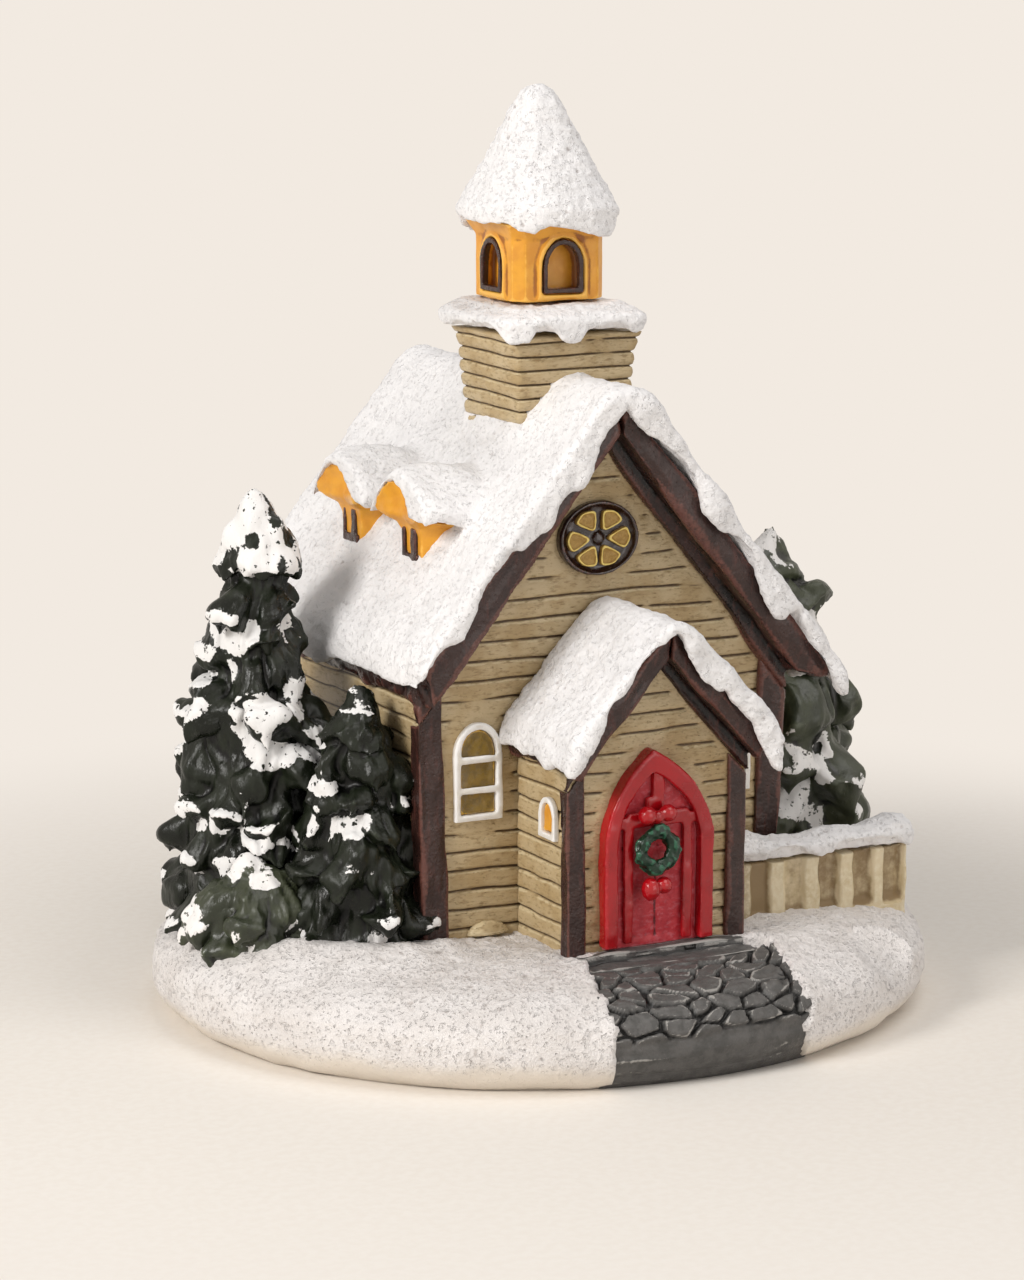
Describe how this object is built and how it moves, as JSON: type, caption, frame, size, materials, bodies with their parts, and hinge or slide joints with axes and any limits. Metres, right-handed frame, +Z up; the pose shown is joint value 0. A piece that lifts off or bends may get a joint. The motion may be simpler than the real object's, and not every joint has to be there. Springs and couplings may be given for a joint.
{
  "type": "resin village house",
  "caption": "Painted cast resin village church with snow-covered roofs, bell tower, gabled porch, conifers and garden wall on a round snow base.",
  "frame": {"origin": "centre of the round base on its underside, on the table", "axes": "+Z up along the tower, -Y towards the door, +X to the right seen from the front"},
  "size_m": [0.101, 0.095, 0.1165],
  "materials": {
    "snow": "granular matt white",
    "slate": "dark grey paint, lighter on the raised parts",
    "siding": "tan paint with a dark brown wash in the grooves",
    "timber": "dark chocolate paint, semi-gloss",
    "gilt": "honey yellow paint, satin",
    "gilt_glitter": "gold glitter paint",
    "red_gloss": "glossy red enamel",
    "red_leaf": "matt crimson paint, scuffed",
    "green": "black-green paint, dry-brushed white",
    "pale_stone": "waxy tan paint",
    "amber_pane": "amber paint",
    "white_paint": "white paint"
  },
  "bodies": {
    "root": {"snow_base": "snow", "cobble_path": "slate", "door_steps": "slate", "house_walls": "siding", "porch_walls": "siding", "corner_post_front_left": "timber", "corner_post_rear_left": "timber", "porch_post_left": "timber", "roof_deck_left": "timber", "porch_deck_left": "timber", "corner_post_front_right": "timber", "corner_post_rear_right": "timber", "porch_post_right": "timber", "roof_deck_right": "timber", "porch_deck_right": "timber", "roof_snow": "snow", "porch_roof_snow": "snow", "door_surround": "red_gloss", "door_leaf": "red_leaf", "door_glazing_bars": "red_gloss", "door_wreath": "green", "wreath_bow": "red_gloss", "wreath_ribbon_tails": "red_gloss", "window_frame_left": "white_paint", "window_panes_left": "amber_pane", "window_frame_right": "white_paint", "window_panes_right": "amber_pane", "porch_window_frame_left": "white_paint", "porch_window_pane_left": "amber_pane", "porch_window_frame_right": "white_paint", "porch_window_pane_right": "amber_pane", "rosette_frame": "timber", "rosette_panes": "gilt_glitter", "tower_walls": "siding", "tower_snow_ledge": "snow", "belfry": "gilt", "belfry_window_frame_front": "timber", "belfry_window_frame_right": "timber", "belfry_window_frame_rear": "timber", "belfry_window_frame_left": "timber", "spire_snow": "snow", "dormer_near": "gilt", "dormer_snow_near": "snow", "dormer_window_near": "timber", "dormer_far": "gilt", "dormer_snow_far": "snow", "dormer_window_far": "timber", "tree_tall_left": "green", "tree_short_left": "green", "shrub_left": "green", "tree_right": "green", "garden_wall": "pale_stone", "garden_wall_snow": "snow", "wall_foot_stone": "pale_stone"}
  },
  "joints": []
}
